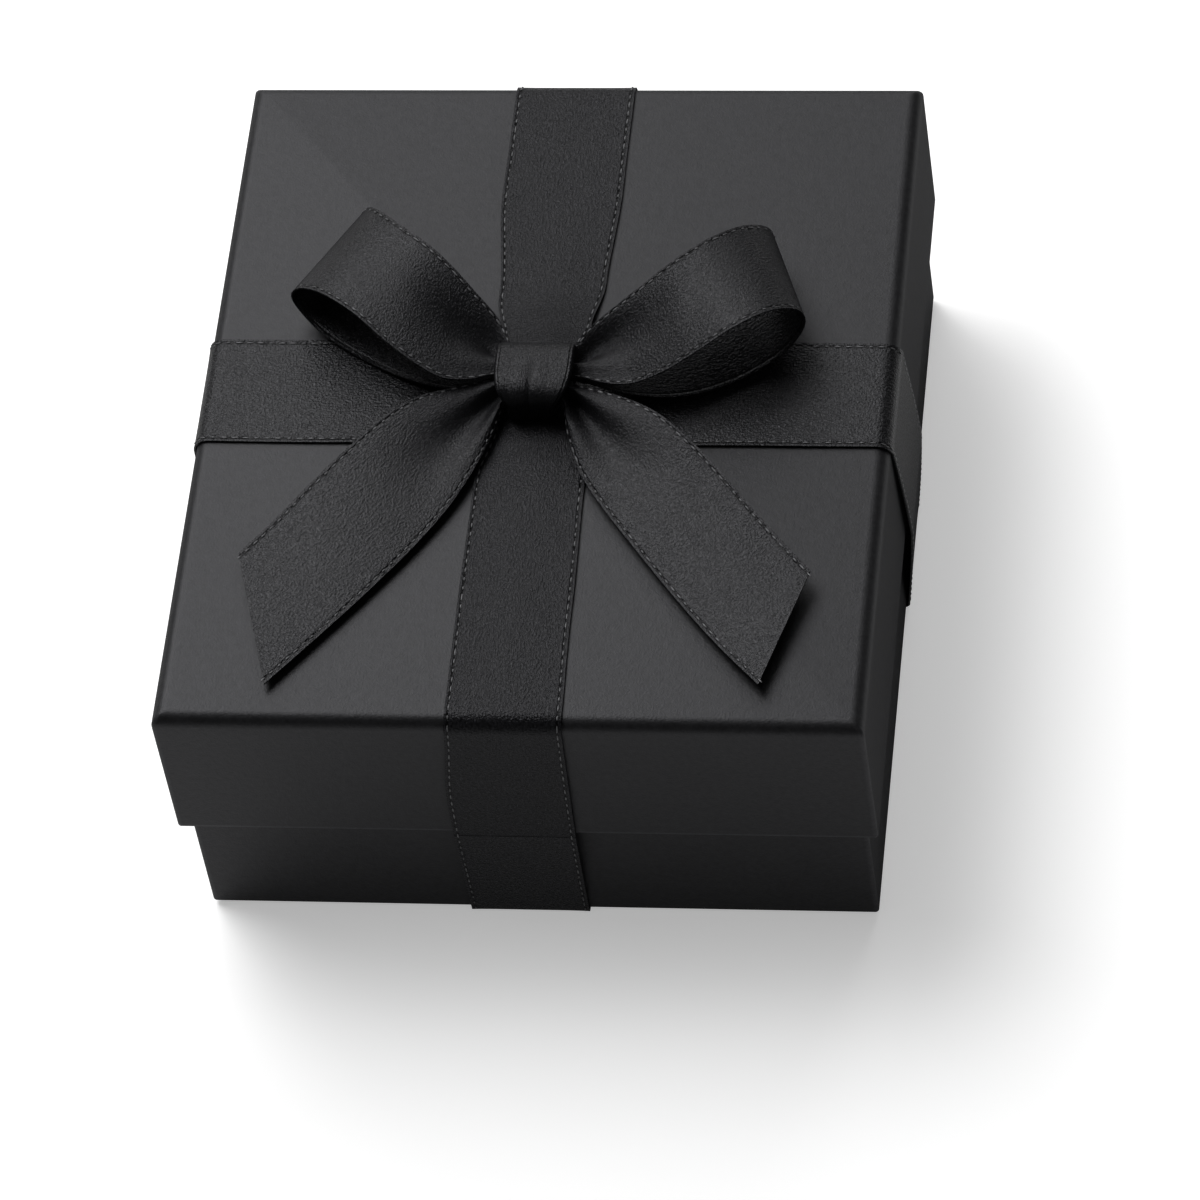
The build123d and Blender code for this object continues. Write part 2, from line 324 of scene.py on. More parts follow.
def rounded_rectangle(half_x, half_y, level, radius):
    """A ring of points round a rectangle with rounded corners, seen from above, anticlockwise."""
    ring = []
    corners = [(1, 1, 0), (-1, 1, 90), (-1, -1, 180), (1, -1, 270)]
    for sign_x, sign_y, start in corners:
        centre_x, centre_y = sign_x * (half_x - radius), sign_y * (half_y - radius)
        for step in range(CORNER_STEPS + 1):
            angle = radians(start + 90 * step / CORNER_STEPS)
            ring.append((centre_x + radius * cos(angle), centre_y + radius * sin(angle), level))
    size = CORNER_STEPS + 1
    full = []
    for corner in range(4):
        full += ring[corner * size:(corner + 1) * size]
        start, end = Vector(full[-1]), Vector(ring[(corner + 1) * size % (4 * size)])
        near = HIGHLIGHT_FADE / (end - start).length
        shares = [near, *(step / SIDE_STEPS for step in range(1, SIDE_STEPS)), 1 - near]
        full += [tuple(start.lerp(end, share)) for share in shares]
    return full


def stack_rings(rings, cap_up):
    """Points and faces of a skin through rings, the first one closed by a cap."""
    size = len(rings[0])
    points = [point for ring in rings for point in ring]
    faces = [tuple(range(size)) if cap_up else tuple(reversed(range(size)))]
    for row in range(len(rings) - 1):
        for step in range(size):
            here, there = row * size + step, row * size + (step + 1) % size
            quad = (here, here + size, there + size, there)
            faces.append(quad if cap_up else quad[::-1])
    return points, faces


def cover_profile(edge_radius, height, way, level):
    """Insets and levels of a cover: round its edge, along its wall, round its rim, and in again."""
    rows = []
    for step in range(EDGE_STEPS + 1):
        angle = pi / 2 * step / EDGE_STEPS
        rows.append((edge_radius * (1 - sin(angle)), level - way * edge_radius * (1 - cos(angle))))
    rim = level - way * height
    straight = height - edge_radius - RIM_RADIUS
    for step in range(1, WALL_STEPS):
        rows.append((0, level - way * (edge_radius + straight * step / WALL_STEPS)))
    rows.append((0, rim + way * (RIM_RADIUS + HIGHLIGHT_FADE)))
    for step in range(RIM_STEPS + 1):
        angle = pi / 2 * step / RIM_STEPS
        rows.append((RIM_RADIUS * (1 - cos(angle)), rim + way * RIM_RADIUS * (1 - sin(angle))))
    for step in range(RIM_STEPS + 1):
        angle = pi / 2 * step / RIM_STEPS
        inset = WALL - RIM_RADIUS * (1 - sin(angle))
        rows.append((inset, rim + way * RIM_RADIUS * (1 - cos(angle))))
    rows.append((WALL, rim + way * (RIM_RADIUS + HIGHLIGHT_FADE)))
    rows.append((WALL, rim + way * TURN_IN))
    return rows


def painted_edge_highlights(half_x, half_y, profile, rings):
    """How much painted highlight each point gets: paler colour at the rim's fold and the upright corners,
    where the edges catch light.
    """
    closed = profile[0][1]
    rim = max((level for _, level in profile), key=lambda level: abs(level - closed))
    spare = 0.1 * HIGHLIGHT_FADE
    edge_highlights = []
    for row, ((inset, level), ring) in enumerate(zip(profile, rings)):
        on_rim = 1.0 if abs(level - rim) < RIM_RADIUS + spare else 0.0
        upright = row >= EDGE_STEPS // 2
        for x, y, z in ring:
            from_corner = max(half_x - inset - abs(x), half_y - inset - abs(y))
            on_corner = CORNER_HIGHLIGHT if upright and from_corner < CORNER_RADIUS + spare else 0.0
            edge_highlights.append(max(on_rim, on_corner))
    return edge_highlights


def make_cover(name, half_x, half_y, profile, way, material, body, node):
    """Covering paper over a tray: way is 1 for the lid, whose closed side is up, and -1 for the base."""
    rings = [
        rounded_rectangle(half_x - inset, half_y - inset, level, CORNER_RADIUS) for inset, level in profile
    ]
    points, faces = stack_rings(rings, way > 0)
    edge_highlights = painted_edge_highlights(half_x, half_y, profile, rings)
    return make_piece(name, points, faces, material, body, node, PAPER, edge_highlights=edge_highlights)


# ---------------------------------------------------------------- ribbon
SMOOTHING = 8
selvedges = {"lid": [], "base": []}


def even_rows(rails):
    """Evenly spaced rows along two smooth rails: six numbers each, the right-hand edge and the left."""
    rough = [through(rails, i / SMOOTHING) for i in range(SMOOTHING * (len(rails) - 1) + 1)]
    middles = [Vector([(row[k] + row[k + 3]) / 2 for k in range(3)]) for row in rough]
    run = [0.0]
    for a, b in zip(middles, middles[1:]):
        run.append(run[-1] + (b - a).length)
    count = max(int(run[-1] / ROW_STEP), 8)
    rows, at = [], 0
    for step in range(count + 1):
        goal = run[-1] * step / count
        while at < len(run) - 2 and run[at + 1] < goal:
            at += 1
        part = (goal - run[at]) / (run[at + 1] - run[at])
        rows.append(through(rails, (at + part) / SMOOTHING))
    return rows


def weave_ribbon(name, rows, relief, body, node, material):
    """A ribbon through rows of edge points; relief lifts its face, by its run, share across and gather."""
    rights = [Vector(row[:3]) for row in rows]
    lefts = [Vector(row[3:]) for row in rows]
    run_right, run_left = [0.0], [0.0]
    for i in range(1, len(rows)):
        run_right.append(run_right[-1] + (rights[i] - rights[i - 1]).length)
        run_left.append(run_left[-1] + (lefts[i] - lefts[i - 1]).length)
    points, uvs = [], []
    for i, (right, left) in enumerate(zip(rights, lefts)):
        before, after = max(i - 1, 0), min(i + 1, len(rows) - 1)
        onward = (rights[after] + lefts[after]) - (rights[before] + lefts[before])
        across = left - right
        outward = onward.cross(across).normalized()
        gather = sqrt(max(RIBBON_WIDTH**2 - across.length_squared, 0)) / 4
        for j in range(ROWS_ACROSS + 1):
            w = j / ROWS_ACROSS
            lift = relief(run_right[i], w, gather)
            points.append(right + across * w + outward * lift)
            uvs.append((run_right[i] * (1 - w) + run_left[i] * w, RIBBON_WIDTH * w))
    size = ROWS_ACROSS + 1
    faces = []
    for i in range(len(rows) - 1):
        for j in range(ROWS_ACROSS):
            here = i * size + j
            faces.append((here, here + size, here + size + 1, here + 1))
    ribbon = make_piece(name, points, faces, material, body, node, RIBBON_THICK, uvs)
    note_selvedges(points, size, len(rows), body)


def note_selvedges(points, size, rows, body):
    """Keeps the two stitch lines of a ribbon, with the way that its face looks."""
    inset = STITCH_INSET / RIBBON_WIDTH * (size - 1)
    for place in (inset, size - 1 - inset):
        line, normals = [], []
        for i in range(rows):
            j = int(place)
            a, b = points[i * size + j], points[i * size + j + 1]
            other = min(i + 1, rows - 1)
            onward = points[other * size + j] - points[max(other - 1, 0) * size + j]
            line.append(a.lerp(b, place - j))
            normals.append(onward.cross(b - a).normalized())
        selvedges[body].append((line, normals))


# ---------------------------------------------------------------- bands round the box
BEND_STEPS = 8


def rounded_run(corners, radius):
    """Points along straight runs through corners in a plane, with a round bend at each inner corner."""
    points = [Vector(corners[0])]
    for before, here, after in zip(corners, corners[1:], corners[2:]):
        before, here, after = Vector(before), Vector(here), Vector(after)
        back, on = (before - here).normalized(), (after - here).normalized()
        turn = pi - back.angle(on)
        reach = radius * sin(turn / 2) / cos(turn / 2)
        centre = here + (back + on).normalized() * (radius / cos(turn / 2))
        first, last = here + back * reach - centre, here + on * reach - centre
        for k in range(BEND_STEPS + 1):
            points.append(centre + first.slerp(last, k / BEND_STEPS) * radius)
    points.append(Vector(corners[-1]))
    run = [points[0]]
    for a, b in zip(points, points[1:]):
        count = max(int((b - a).length / ROW_STEP), 1)
        run += [a.lerp(b, k / count) for k in range(1, count + 1)]
    return run


def edge_at(table, along):
    """A value read from a short table of (along, value) pairs, eased between them."""
    if along <= table[0][0]:
        return table[0][1]
    for (a, low), (b, high) in zip(table, table[1:]):
        if along <= b:
            return low + (high - low) * smooth_step((along - a) / (b - a))
    return table[-1][1]


STAND_OFF = 0.30 * MM
STAND_OFF_RIGHT = 0.75 * MM
WANDER_LENGTH = 17 * MM
WANDER_MOST = 0.12 * MM


def wander(along, seed):
    """A slight unevenness of hand-laid ribbon."""
    return noise.noise(Vector((along / WANDER_LENGTH, seed, 0))) * WANDER_MOST


def drop(z):
    """Share of the box's height, down from the lid's top."""
    return min(max((LID_TOP - z) / LID_TOP, 0.0), 1.0)


def stand_off(a, z, along_y):
    """How far a band bows out from the box's side between the lid's edge and the foot."""
    most = STAND_OFF if along_y or a < 0 else STAND_OFF_RIGHT
    return (1 if a > 0 else -1) * most * sin(pi * drop(z))


def make_band(name, run, edges, lift, along_y, body, node, cover, material):
    """A band whose run lies in an upright plane; edges gives its two sides at a place along the box."""
    rows = []
    for a, z in run:
        right, left = edges(a, z)
        level = z + lift(a, z)
        a += stand_off(a, z, along_y)
        if along_y:
            rows.append((right, a, level, left, a, level))
        else:
            rows.append((a, right, level, a, left, level))
    weave_ribbon(name, rows, band_relief, body, node, material)


LONG_BAND_LEFT = [
    (-70, -10.2), (-45, -10.4), (-18, -10.4), (-8, -8.0), (0, -6.6), (8, -7.8), (21, -10.4), (45, -12.2)
]
LONG_BAND_RIGHT = [
    (-70, 9.6), (-45, 9.1), (-18, 8.7), (-8, 6.2), (0, 4.6), (8, 4.8), (14, 6.6), (24, 8.2), (45, 9.0)
]
LONG_LEAN_RIGHT = 1.7 * MM
LONG_LEAN_LEFT = 0.8 * MM
LONG_STEP_LEFT = 1.6 * MM
LONG_RISE = 1.7 * MM
LONG_RISE_UNDER = 0.4 * MM
CROSS_EDGE = 11.2 * MM
CROSS_SLANT = 9.5 * MM
EDGE_PROUD = 0.08 * MM
WAVE_HEIGHT = 0.04 * MM
WAVE_LENGTH = 9 * MM
GATHER_SPARE = 2.2 * MM


def long_edges(a, z):
    """The two sides of the front-to-back band, which narrows at the knot and leans on the front."""
    right = edge_at(LONG_BAND_RIGHT, a / MM) * MM + wander(a, 1)
    left = edge_at(LONG_BAND_LEFT, a / MM) * MM + wander(a, 2)
    toward_front = max(-a, 0.0) / LID_Y
    right -= LONG_LEAN_RIGHT * drop(z) * toward_front
    left -= (LONG_STEP_LEFT * smooth_step(2.6 * drop(z)) + LONG_LEAN_LEFT * drop(z)) * toward_front
    return right, left


def cross_edges(a, z):
    """The two sides of the left-to-right band, which slants back down the right side."""
    slant = CROSS_SLANT * drop(z) * max(a, 0.0) / LID_X
    return slant - CROSS_EDGE + wander(a, 3), slant + CROSS_EDGE + wander(a, 4)


def long_upper_lift(a, z):
    """Over the cross band, and up towards the knot behind it."""
    if z < LID_TOP:
        return 0.0
    over = RIBBON_LIE * smooth_step((14 * MM + a) / (3 * MM)) * smooth_step((24 * MM - a) / (16 * MM))
    rise = LONG_RISE * smooth_step((22 * MM - a) / (18 * MM)) * smooth_step((a - 1 * MM) / (4 * MM))
    return over + rise


def long_lower_lift(a, z):
    """Over the cross band under the base."""
    over = smooth_step((14 * MM - abs(a)) / (2 * MM))
    return LONG_RISE_UNDER * over if z < BASE_LOW.z else 0.0


def no_lift(a, z):
    return 0.0


def band_relief(s, w, gather):
    """A band's face: nearly flat, its edges a hair proud of the paper, gathered where it narrows."""
    rounding = 0.3 * max(gather - GATHER_SPARE, 0.0) * sin(pi * w) ** 2
    return EDGE_PROUD * abs(2 * w - 1) ** 6 + WAVE_HEIGHT * sin(s / WAVE_LENGTH) + rounding


def upper_run(half):
    """Up from the lid's rim, over its top, and down to its rim on the far side."""
    side, top = half + RIBBON_LIE, LID_TOP + RIBBON_LIE
    corners = [(-side, LID_RIM), (-side, top), (side, top), (side, LID_RIM)]
    return rounded_run(corners, LID_EDGE_RADIUS + RIBBON_LIE)


def lower_run(half_base, half_lid):
    """Down from the lid's rim line to the base's foot, under the base, and up the other side."""
    foot, head, top = half_base + RIBBON_LIE, half_lid + RIBBON_LIE, LID_RIM - 0.05 * MM
    corners = [(head, top), (foot, 0.0), (-foot, 0.0), (-head, top)]
    return rounded_run(corners, BASE_EDGE_RADIUS + RIBBON_LIE)


# ---------------------------------------------------------------- bow
def on_lid(rows, swap=False):
    """Rows of two edge points, in millimetres from the middle of the lid's top, to rails in metres."""
    rails = []
    for one, other in rows:
        if swap:
            one, other = other, one
        points = [Vector((x, y, z)) * MM + Vector((0, 0, LID_TOP)) for x, y, z in (one, other)]
        rails.append([*points[0], *points[1]])
    return rails


LEFT_LOOP = [
    ((-3.0, 0.4, 4.6), (-3.0, 3.4, 4.8)),
    ((-6.4, 0.2, 5.2), (-6.2, 5.0, 4.4)),
    ((-9.4, -0.8, 6.0), (-7.9, 8.6, 4.6)),
    ((-12.3, -2.2, 6.7), (-9.4, 11.2, 5.8)),
    ((-16.8, -2.8, 7.9), (-12.4, 14.4, 8.4)),
    ((-21.5, -0.8, 9.3), (-16.4, 18.3, 11.1)),
    ((-27.0, 2.8, 11.0), (-21.0, 22.3, 12.8)),
    ((-33.0, 7.8, 12.4), (-25.8, 26.1, 13.0)),
    ((-39.0, 12.0, 12.4), (-30.2, 30.2, 12.0)),
    ((-43.5, 15.0, 10.0), (-33.2, 33.4, 9.8)),
    ((-45.6, 16.0, 6.6), (-34.8, 34.8, 6.6)),
    ((-44.0, 14.7, 3.4), (-33.6, 33.6, 3.4)),
    ((-39.5, 11.0, 1.5), (-29.5, 29.5, 1.5)),
    ((-32.0, 6.0, 1.1), (-21.5, 24.0, 1.1)),
    ((-24.0, 1.5, 1.7), (-14.5, 17.5, 1.7)),
    ((-15.5, -1.4, 3.0), (-9.8, 11.0, 3.0)),
    ((-8.0, 0.3, 4.2), (-7.6, 6.0, 4.2)),
    ((-3.5, 1.0, 4.2), (-3.5, 5.0, 4.2)),
]
RIGHT_LOOP = [
    ((0.5, -0.2, 4.6), (0.5, 2.6, 4.8)),
    ((4.0, -0.4, 5.2), (4.0, 3.4, 4.8)),
    ((7.2, -1.0, 5.9), (6.3, 5.6, 5.1)),
    ((10.5, -2.2, 6.1), (8.0, 8.2, 6.8)),
    ((15.6, -3.1, 7.0), (12.0, 11.0, 9.6)),
    ((21.6, -2.3, 9.5), (17.8, 14.8, 12.9)),
    ((27.7, 0.0, 12.5), (23.0, 18.3, 15.2)),
    ((33.5, 2.9, 15.0), (28.2, 22.2, 15.6)),
    ((39.2, 6.5, 15.0), (32.9, 26.2, 13.8)),
    ((43.5, 9.5, 11.8), (36.2, 29.0, 10.4)),
    ((44.7, 10.2, 7.6), (37.4, 30.0, 7.0)),
    ((42.8, 8.8, 4.0), (36.0, 28.6, 5.2)),
    ((38.5, 5.8, 1.6), (31.5, 26.0, 4.2)),
    ((32.0, 1.6, 1.1), (24.5, 21.5, 4.2)),
    ((24.4, -1.8, 1.8), (16.5, 17.0, 4.2)),
    ((16.0, -2.8, 3.2), (10.0, 11.5, 4.0)),
    ((7.5, -1.0, 4.2), (7.0, 4.0, 4.2)),
    ((2.5, 0.0, 4.2), (2.5, 3.0, 4.2)),
]
LEFT_TAIL = [
    ((-4.0, 0.0, 4.0), (-3.0, -3.2, 3.6)),
    ((-9.0, -0.6, 4.6), (-6.2, -5.0, 3.2)),
    ((-15.4, -3.2, 5.6), (-7.6, -10.4, 2.6)),
    ((-21.1, -5.6, 6.0), (-10.2, -17.7, 2.1)),
    ((-26.4, -9.4, 5.5), (-13.8, -25.8, 1.8)),
    ((-32.2, -15.6, 4.5), (-19.0, -34.4, 1.6)),
    ((-38.0, -22.6, 3.5), (-26.4, -44.8, 1.6)),
    ((-43.5, -29.8, 2.5), (-34.2, -54.9, 1.6)),
    ((-48.8, -36.4, 2.0), (-41.0, -63.6, 1.8)),
]
RIGHT_TAIL = [
    ((0.5, -3.2, 3.6), (1.5, 0.0, 4.0)),
    ((3.8, -4.9, 3.2), (6.2, -1.8, 4.6)),
    ((5.0, -11.0, 2.6), (13.8, -5.0, 6.0)),
    ((7.4, -17.7, 2.2), (20.7, -8.9, 6.5)),
    ((11.6, -24.6, 2.0), (27.4, -15.0, 6.0)),
    ((18.0, -33.4, 2.0), (33.4, -21.6, 5.2)),
    ((26.3, -44.4, 2.0), (39.2, -28.6, 4.6)),
    ((34.3, -54.3, 2.3), (44.4, -34.6, 4.1)),
    ((42.2, -63.0, 2.8), (49.2, -40.1, 3.8)),
]


PLEAT_MOST = 2.3 * MM
PLEAT_START = 5 * MM
LEFT_LOOP_PLEATS_REACH = 16 * MM
RIGHT_LOOP_PLEATS_REACH = 15 * MM
TAIL_PLEATS_REACH = 15 * MM


def pleat_height(s, gather, reach):
    """Height of the pleats, which grows out of the knot and dies away along the ribbon."""
    height = min(gather * 0.6, PLEAT_MOST) * (0.15 + 0.85 * smooth_step(s / PLEAT_START))
    return height * exp(-((s / reach) ** 2))


def tail_pleats(s, t, gather):
    """Two ridges, the narrower by the edge where t is 0."""
    return pleat_height(s, gather, TAIL_PLEATS_REACH) * sin(tau * t**0.72) ** 2


def loop_pleats(s, t, gather, reach):
    """A raised edge where t is 0, a valley, a ridge, and down to the other edge."""
    return pleat_height(s, gather, reach) * cos(0.8 * tau * t) ** 2


def trough(s, t, depth, reach):
    """A long shallow hollow that runs out of the knot."""
    fade = smooth_step(s / (9 * MM)) * smooth_step((reach - s) / (0.6 * reach))
    return -depth * sin(pi * t**0.85) ** 2 * fade


def left_loop_relief(s, w, gather):
    return loop_pleats(s, w, gather, LEFT_LOOP_PLEATS_REACH) + trough(s, w, 1.5 * MM, 32 * MM)


def right_loop_relief(s, w, gather):
    return loop_pleats(s, 1 - w, gather, RIGHT_LOOP_PLEATS_REACH) + trough(s, 1 - w, 1.2 * MM, 28 * MM)


def left_tail_relief(s, w, gather):
    return tail_pleats(s, 1 - w, gather) + trough(s, 1 - w, 1.3 * MM, 36 * MM)


def right_tail_relief(s, w, gather):
    return tail_pleats(s, w, gather) + trough(s, w, 1.3 * MM, 34 * MM)


def make_bow_piece(name, rails, relief, node):
    """A loop or a tail, over the lid."""
    weave_ribbon(name, even_rows(rails), relief, "lid", node, ribbon_satin)


# ---------------------------------------------------------------- knot
KNOT_X, KNOT_Y, KNOT_Z = -1.35 * MM, -0.9 * MM, LID_TOP + 4.6 * MM
KNOT_DEEP, KNOT_HIGH = 6.5 * MM, 4.2 * MM
KNOT_SQUARENESS = 3.2
KNOT_HALF_WIDTH = 6.5 * MM
KNOT_TAPER = 2.9 * MM
KNOT_HEM = 0.5 * MM
KNOT_TUCK = 1.8 * MM
KNOT_MEAN_RADIUS = 5.4 * MM
KNOT_STEPS = 96
KNOT_FLAT_STEPS = 14
KNOT_HEM_STEPS = 6


def knot_profile(half):
    """Across the knot's wrap: (sideways, inwards) places, flat in the middle, its edges turned under."""
    flat = half - KNOT_HEM
    profile = [(flat * k / KNOT_FLAT_STEPS, 0.0) for k in range(KNOT_FLAT_STEPS + 1)]
    for k in range(1, KNOT_HEM_STEPS + 1):
        angle = pi * k / KNOT_HEM_STEPS
        profile.append((flat + KNOT_HEM * sin(angle), KNOT_HEM * (1 - cos(angle))))
    profile += [(flat - KNOT_TUCK * k / 2, 2 * KNOT_HEM) for k in (1, 2)]
    return [(-x, inwards) for x, inwards in profile[:0:-1]] + profile


def hump(x, middle, width):
    """A smooth hump of height 1; places in millimetres."""
    return exp(-(((x / MM - middle) / width) ** 2))


def knot_crease(x):
    """How far the wrap is drawn in: a deep crease, a fold to each side, and a fuller part."""
    deep = 0.30 * hump(x, -0.30, 0.45)
    slight = 0.10 * hump(x, 2.6, 0.8) + 0.10 * hump(x, -4.0, 0.7)
    full = 0.16 * hump(x, -2.2, 1.3)
    return (deep + slight - full) * MM


def make_knot():
    """The knot: a creased wrap of ribbon over the crossing, narrower at its foot in front."""
    points, uvs = [], []
    for i in range(KNOT_STEPS):
        angle = tau * i / KNOT_STEPS
        dy, dz = cos(angle), sin(angle)
        round_out = (abs(dy) ** KNOT_SQUARENESS + abs(dz) ** KNOT_SQUARENESS) ** (-1 / KNOT_SQUARENESS)
        foot = smooth_step(0.25 - 0.95 * dy) * smooth_step(1.05 - 0.9 * dz)
        half = KNOT_HALF_WIDTH - KNOT_TAPER * foot
        creased = smooth_step(0.55 - 0.75 * dy) * smooth_step(0.5 + 0.8 * dz)
        for x, inwards in knot_profile(half):
            inwards += knot_crease(x) * creased
            place = KNOT_X + x + (0.35 * dz - 0.1) * MM
            y = KNOT_Y + dy * (round_out * KNOT_DEEP - inwards)
            z = KNOT_Z + dz * (round_out * KNOT_HIGH - inwards)
            points.append(Vector((place, y, z)))
            uvs.append((angle * KNOT_MEAN_RADIUS, RIBBON_WIDTH * (0.5 + x / (2 * half))))
    size = len(points) // KNOT_STEPS
    faces = []
    for i in range(KNOT_STEPS):
        for j in range(size - 1):
            here, there = i * size + j, (i + 1) % KNOT_STEPS * size + j
            faces.append((here, here + 1, there + 1, there))
    knot = make_piece(
        "bow_knot_wrap", points, faces, ribbon_satin, "lid", "bow_knot", RIBBON_THICK, uvs=uvs
    )


# ---------------------------------------------------------------- stitches along the selvedges
def stitch_tree(material):
    """Threads laid end to end along lines: one instance of a small bead at each pitch."""
    tree = bpy.data.node_groups.new("selvedge_stitches", "GeometryNodeTree")
    tree.interface.new_socket("Geometry", in_out="INPUT", socket_type="NodeSocketGeometry")
    sizes = {"Pitch": STITCH_PITCH, "Length": STITCH_LENGTH, "Width": STITCH_WIDTH, "Height": STITCH_HEIGHT}
    for name, size in sizes.items():
        socket = tree.interface.new_socket(name, in_out="INPUT", socket_type="NodeSocketFloat")
        socket.default_value = size
    tree.interface.new_socket("Geometry", in_out="OUTPUT", socket_type="NodeSocketGeometry")
    given = add(tree, "NodeGroupInput").outputs
    lines = add(tree, "GeometryNodeMeshToCurve", {}, {"Mesh": given["Geometry"]})
    spacing = {"Curve": lines.outputs[0], "Length": given["Pitch"]}
    spaced = add(tree, "GeometryNodeResampleCurve", {"mode": "LENGTH"}, spacing)
    vector = {"data_type": "FLOAT_VECTOR"}
    facing = add(tree, "GeometryNodeInputNamedAttribute", vector, {"Name": "facing"})
    onward = add(tree, "GeometryNodeInputTangent")
    axes = {"primary_axis": "Z", "secondary_axis": "X"}
    directions = {0: facing.outputs[0], 1: onward.outputs[0]}
    turned = add(tree, "FunctionNodeAxesToRotation", axes, directions)
    vary = add(tree, "FunctionNodeRandomValue", {"data_type": "FLOAT"}, {2: 0.55, 3: 1.2, "Seed": 7})
    length = Value(tree, given["Length"]) * Value(tree, vary.outputs[1])
    scale = add(tree, "ShaderNodeCombineXYZ", {}, {0: length, 1: given["Width"], 2: given["Height"]})
    bead = add(tree, "GeometryNodeMeshUVSphere", {}, {"Segments": 8, "Rings": 5, "Radius": 0.5})
    sources = {"Points": spaced, "Instance": bead, "Rotation": turned, "Scale": scale}
    links = {name: node.outputs[0] for name, node in sources.items()}
    placed = add(tree, "GeometryNodeInstanceOnPoints", {}, links)
    real = add(tree, "GeometryNodeRealizeInstances", {}, {0: placed.outputs[0]})
    surface = {"Geometry": real.outputs[0], "Material": material}
    painted = add(tree, "GeometryNodeSetMaterial", {}, surface)
    add(tree, "NodeGroupOutput", {}, {0: painted.outputs[0]})
    return tree


def make_stitches(body, tree):
    """The stitches of every ribbon on one body, as one plain mesh."""
    points, edges, facings = [], [], []
    for line, normals in selvedges[body]:
        first = len(points)
        points += line
        facings += normals
        edges += [(first + i, first + i + 1) for i in range(len(line) - 1)]
    guide_mesh = bpy.data.meshes.new(f"{body}_selvedge_lines")
    guide_mesh.from_pydata(points, edges, [])
    facing = guide_mesh.attributes.new("facing", "FLOAT_VECTOR", "POINT")
    facing.data.foreach_set("vector", [c for normal in facings for c in normal])
    guide = bpy.data.objects.new(f"{body}_selvedge_lines", guide_mesh)
    bpy.context.collection.objects.link(guide)
    modifier = guide.modifiers.new("stitches", "NODES")
    modifier.node_group = tree
    for socket in tree.interface.items_tree:
        if socket.in_out == "INPUT" and socket.socket_type == "NodeSocketFloat":
            modifier[socket.identifier] = socket.default_value
    depsgraph = bpy.context.evaluated_depsgraph_get()
    mesh = bpy.data.meshes.new_from_object(guide.evaluated_get(depsgraph), depsgraph=depsgraph)
    bpy.data.objects.remove(guide)
    stitches = bpy.data.objects.new(f"{body}_ribbon_stitches", mesh)
    bpy.context.collection.objects.link(stitches)
    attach(stitches, body)


# ---------------------------------------------------------------- floor, light and camera
FLOOR_HALF = 3.0
FLOOR_GLOW = 0.10
FLOOR_SEEN_GLOW = 0.22


def make_floor():
    """A white floor that glows a little, so that its far parts stay pale."""
    mesh = bpy.data.meshes.new("floor")
    corners = [(x * FLOOR_HALF, y * FLOOR_HALF, 0) for x, y in ((-1, -1), (1, -1), (1, 1), (-1, 1))]
    mesh.from_pydata(corners, [], [(0, 1, 2, 3)])
    floor = bpy.data.objects.new("floor", mesh)
    bpy.context.collection.objects.link(floor)
    finish = Finish("floor_white", 0.9, 0.1)
    finish.shader.inputs["Base Color"].default_value = (0.93, 0.93, 0.93, 1)
    finish.shader.inputs["Emission Color"].default_value = (1, 1, 1, 1)
    seen = add(finish.tree, "ShaderNodeLightPath").outputs["Is Camera Ray"]
    glow = FLOOR_GLOW + Value(finish.tree, seen) * FLOOR_SEEN_GLOW
    finish.tree.links.new(glow.socket, finish.shader.inputs["Emission Strength"])
    mesh.materials.append(finish.material)


def make_light(name, turn, height, distance, wide, tall, power):
    """A soft panel that faces the box: turn is clockwise from the back, height is up, both in degrees."""
    turn, height = radians(turn), radians(height)
    place = Vector((sin(turn) * cos(height), cos(turn) * cos(height), sin(height))) * distance
    light = bpy.data.lights.new(name, "AREA")
    light.shape = "RECTANGLE"
    light.size, light.size_y = wide, tall
    light.energy = power
    lamp = bpy.data.objects.new(name, light)
    lamp.location = place
    lamp.rotation_euler = (-place).to_track_quat("-Z", "Y").to_euler()
    bpy.context.collection.objects.link(lamp)


def make_world(level):
    """An even grey room."""
    world = bpy.data.worlds.new("soft_room")
    world.use_nodes = True
    world.node_tree.nodes["Background"].inputs["Color"].default_value = (level, level, level, 1)
    bpy.context.scene.world = world


def make_camera():
    """A long lens, from in front and above, a little to the right."""
    data = bpy.data.cameras.new("camera")
    data.sensor_width = 36
    data.lens = 212.85
    data.clip_end = 50
    camera = bpy.data.objects.new("camera", data)
    camera.location = (0.1876, -0.7466, 1.0006 + BASE_LOW.z)
    camera.rotation_euler = (0.6461, 0.1104, 0.0976)
    bpy.context.collection.objects.link(camera)
    bpy.context.scene.camera = camera


# ---------------------------------------------------------------- the making
paper = covering_paper()
ribbon_satin = satin("ribbon_satin", 0.31, (0.019, 0.019, 0.0212))
# The lengthways bands use a copy of the same satin, paler in base colour and less glossy: a painted
# difference in sheen, for how light falls along their warp.
lengthways_sheen_satin = satin("ribbon_satin_lengthways_sheen_copy", 0.20, (0.028, 0.028, 0.031))
thread = stitch_thread()
lining = plain_paper("lining_paper", (0.020, 0.020, 0.021), (0.040, 0.040, 0.042), 0.75)
greyboard = plain_paper("greyboard", (0.20, 0.19, 0.175), (0.34, 0.33, 0.31), 0.85)
tape = plain_paper("stay_tape", (0.33, 0.22, 0.13), (0.50, 0.36, 0.23), 0.7)

for node_name, node_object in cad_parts.items():
    for word, finish in (("board", greyboard), ("stay", tape), ("liner", lining)):
        if word in node_name:
            node_object.data.materials.clear()
            node_object.data.materials.append(finish)

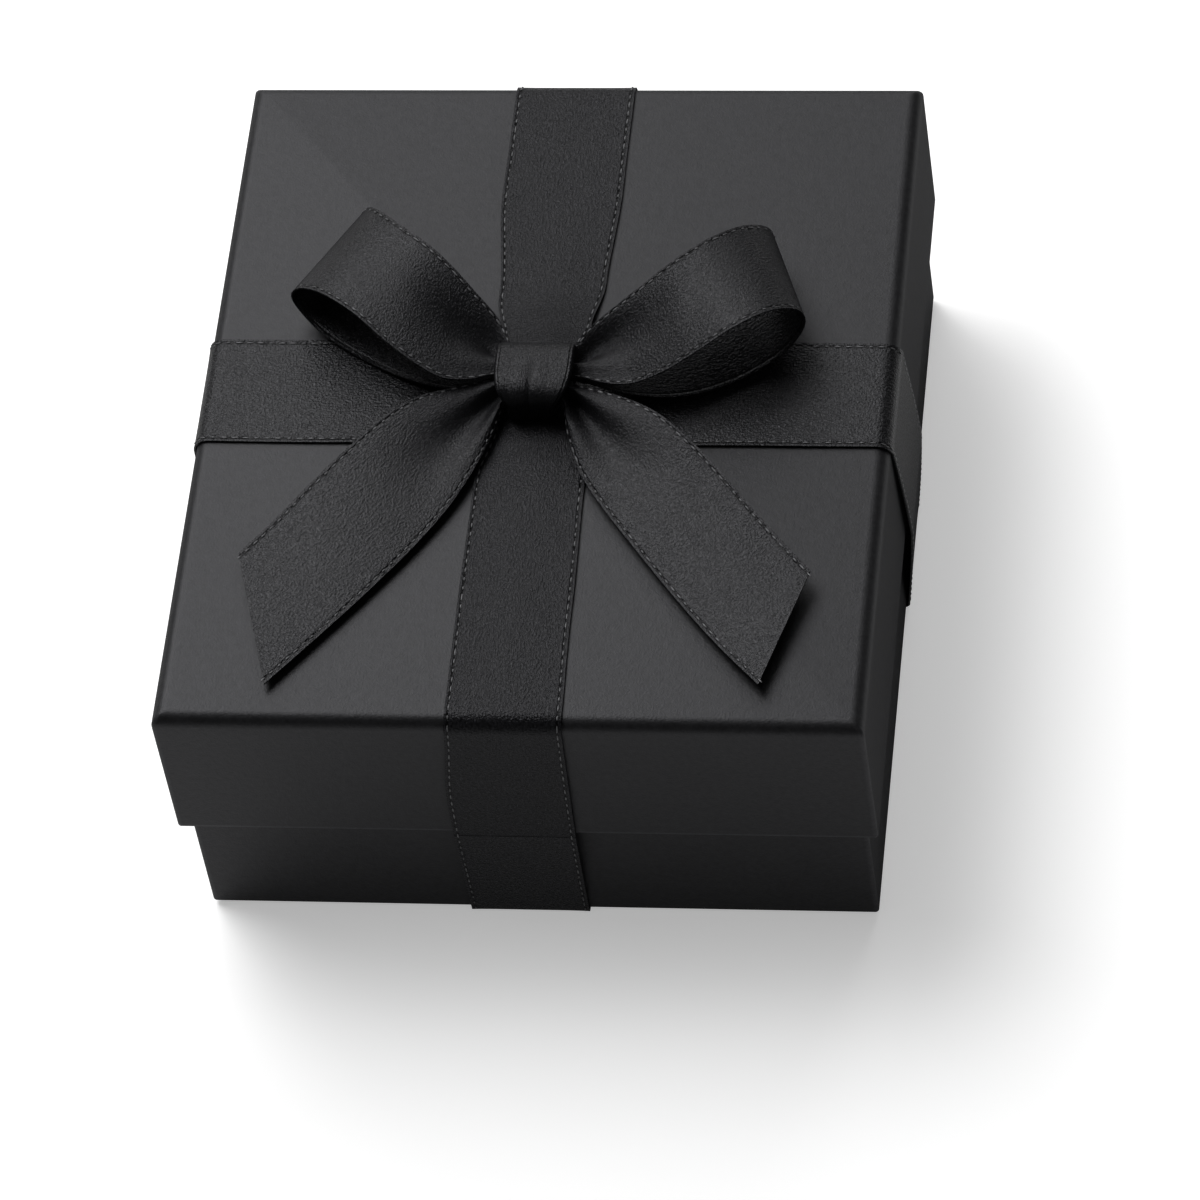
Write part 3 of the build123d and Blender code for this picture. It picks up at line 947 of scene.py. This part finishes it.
lid_profile = cover_profile(LID_EDGE_RADIUS, LID_TOP - LID_RIM, 1, LID_TOP)
lid_cover = make_cover("lid_cover", LID_X, LID_Y, lid_profile, 1, paper, "lid", "lid_wrap")
base_profile = cover_profile(BASE_EDGE_RADIUS, BASE_HIGH.z - BASE_LOW.z, -1, BASE_LOW.z)
base_cover = make_cover("base_cover", BASE_X, BASE_Y, base_profile, -1, paper, "base", "base_wrap")

long_upper = ("ribbon_long_upper", upper_run(LID_Y), long_edges, long_upper_lift, True)
cross_upper = ("ribbon_cross_upper", upper_run(LID_X), cross_edges, no_lift, False)
long_lower = ("ribbon_long_lower", lower_run(BASE_Y, LID_Y), long_edges, long_lower_lift, True)
cross_lower = ("ribbon_cross_lower", lower_run(BASE_X, LID_X), cross_edges, no_lift, False)
make_band(*long_upper, "lid", "lid_ribbon_long", lid_cover, lengthways_sheen_satin)
make_band(*cross_upper, "lid", "lid_ribbon_cross", lid_cover, ribbon_satin)
make_band(*long_lower, "base", "base_ribbon_long", base_cover, lengthways_sheen_satin)
make_band(*cross_lower, "base", "base_ribbon_cross", base_cover, ribbon_satin)

left_loop, right_loop = on_lid(LEFT_LOOP, swap=True), on_lid(RIGHT_LOOP)
left_tail, right_tail = on_lid(LEFT_TAIL), on_lid(RIGHT_TAIL)
make_bow_piece("bow_left_loop", left_loop, left_loop_relief, "bow_loop_left")
make_bow_piece("bow_right_loop", right_loop, right_loop_relief, "bow_loop_right")
make_bow_piece("bow_left_tail", left_tail, left_tail_relief, "bow_tail_left")
make_bow_piece("bow_right_tail", right_tail, right_tail_relief, "bow_tail_right")
make_knot()

stitching = stitch_tree(thread)
for body in selvedges:
    make_stitches(body, stitching)

make_floor()
make_light("back_panel", turn=-12, height=38, distance=1.6, wide=1.8, tall=1.2, power=8.5)
make_light("back_left_key", turn=-42, height=52, distance=1.5, wide=1.0, tall=0.8, power=3.9)
make_light("left_key", turn=-58, height=64, distance=1.5, wide=0.8, tall=0.8, power=7.8)
make_world(0.09)
make_camera()
view = bpy.context.scene.view_settings
view.view_transform = "Standard"
view.look = "Medium High Contrast"
view.exposure = 0.1
